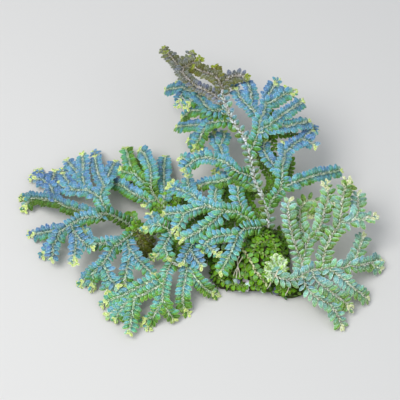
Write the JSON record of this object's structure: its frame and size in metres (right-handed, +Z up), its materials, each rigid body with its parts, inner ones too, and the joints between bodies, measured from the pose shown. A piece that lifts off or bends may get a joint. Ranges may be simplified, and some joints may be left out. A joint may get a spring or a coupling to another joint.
{
  "type": "spikemoss",
  "caption": "Picked clump of peacock spikemoss: creeping stems and flat, forked, scale-leaved blue-green fronds arching from a small mossy lump of soil.",
  "frame": {"origin": "centre of the clump's footprint, on the surface it rests on", "axes": "+X to the viewer's right, along the clump's length; -Y towards the viewer; +Z up"},
  "size_m": [0.2035, 0.1686, 0.0545],
  "materials": {
    "leaf_blue": "leaf with a blue sheen, satin",
    "leaf_teal": "leaf, teal with a blue sheen, satin",
    "leaf_green": "leaf, sea green, satin",
    "leaf_grey": "leaf, grey mint, satin",
    "leaf_old": "leaf, old, brown-grey, dull",
    "stem": "leafy stem, pale green, dull",
    "root": "dry root and twig, straw brown, dull",
    "moss": "moss, bright green, matte",
    "soil": "damp dark soil, matte"
  },
  "bodies": {
    "root": {"soil_clump": "soil", "moss_cushion_top": "moss", "moss_cushion_toe": "moss", "stem_rear": "stem", "stem_left": "stem", "stem_upper_left": "stem", "stem_front_left": "stem", "stem_right": "stem", "frond_left_long": "leaf_blue", "frond_left_far": "leaf_blue", "frond_left_back_low": "leaf_blue", "frond_left_back": "leaf_blue", "frond_left_mid": "leaf_blue", "frond_left_front": "leaf_blue", "frond_left_steep": "leaf_blue", "frond_upper_1": "leaf_teal", "frond_upper_2": "leaf_teal", "frond_upper_3": "leaf_teal", "frond_upper_4": "leaf_teal", "frond_centre_left": "leaf_teal", "frond_centre_low": "leaf_teal", "frond_centre_long": "leaf_teal", "frond_centre_side": "leaf_teal", "frond_centre_broad": "leaf_teal", "frond_centre_tall": "leaf_teal", "frond_front_long": "leaf_teal", "frond_front_side": "leaf_teal", "frond_front_blue": "leaf_blue", "frond_rear_inner": "leaf_teal", "frond_rear_fork": "leaf_teal", "frond_rear_left_6": "leaf_teal", "frond_rear_left_5": "leaf_teal", "frond_rear_left_4": "leaf_teal", "frond_rear_old": "leaf_old", "frond_rear_top": "leaf_old", "frond_back_left": "leaf_blue", "frond_back_top": "leaf_blue", "frond_back_right": "leaf_blue", "frond_back_right_low": "leaf_blue", "frond_right_back": "leaf_blue", "frond_right_back_tip": "leaf_blue", "frond_right_far": "leaf_blue", "frond_right_head": "leaf_grey", "frond_right_inner": "leaf_grey", "frond_right_tall": "leaf_grey", "frond_right_edge": "leaf_grey", "frond_right_low": "leaf_grey", "frond_right_front_far": "leaf_grey", "frond_right_front": "leaf_grey", "frond_right_front_mid": "leaf_grey", "frond_front_drop": "leaf_green", "frond_front_spread": "leaf_green", "frond_front_pale": "leaf_green", "frond_front_round": "leaf_green", "frond_front_short": "leaf_green", "frond_front_pad": "leaf_green", "rhizophore_front": "root", "twig_left": "root", "twig_right": "root"}
  },
  "joints": []
}
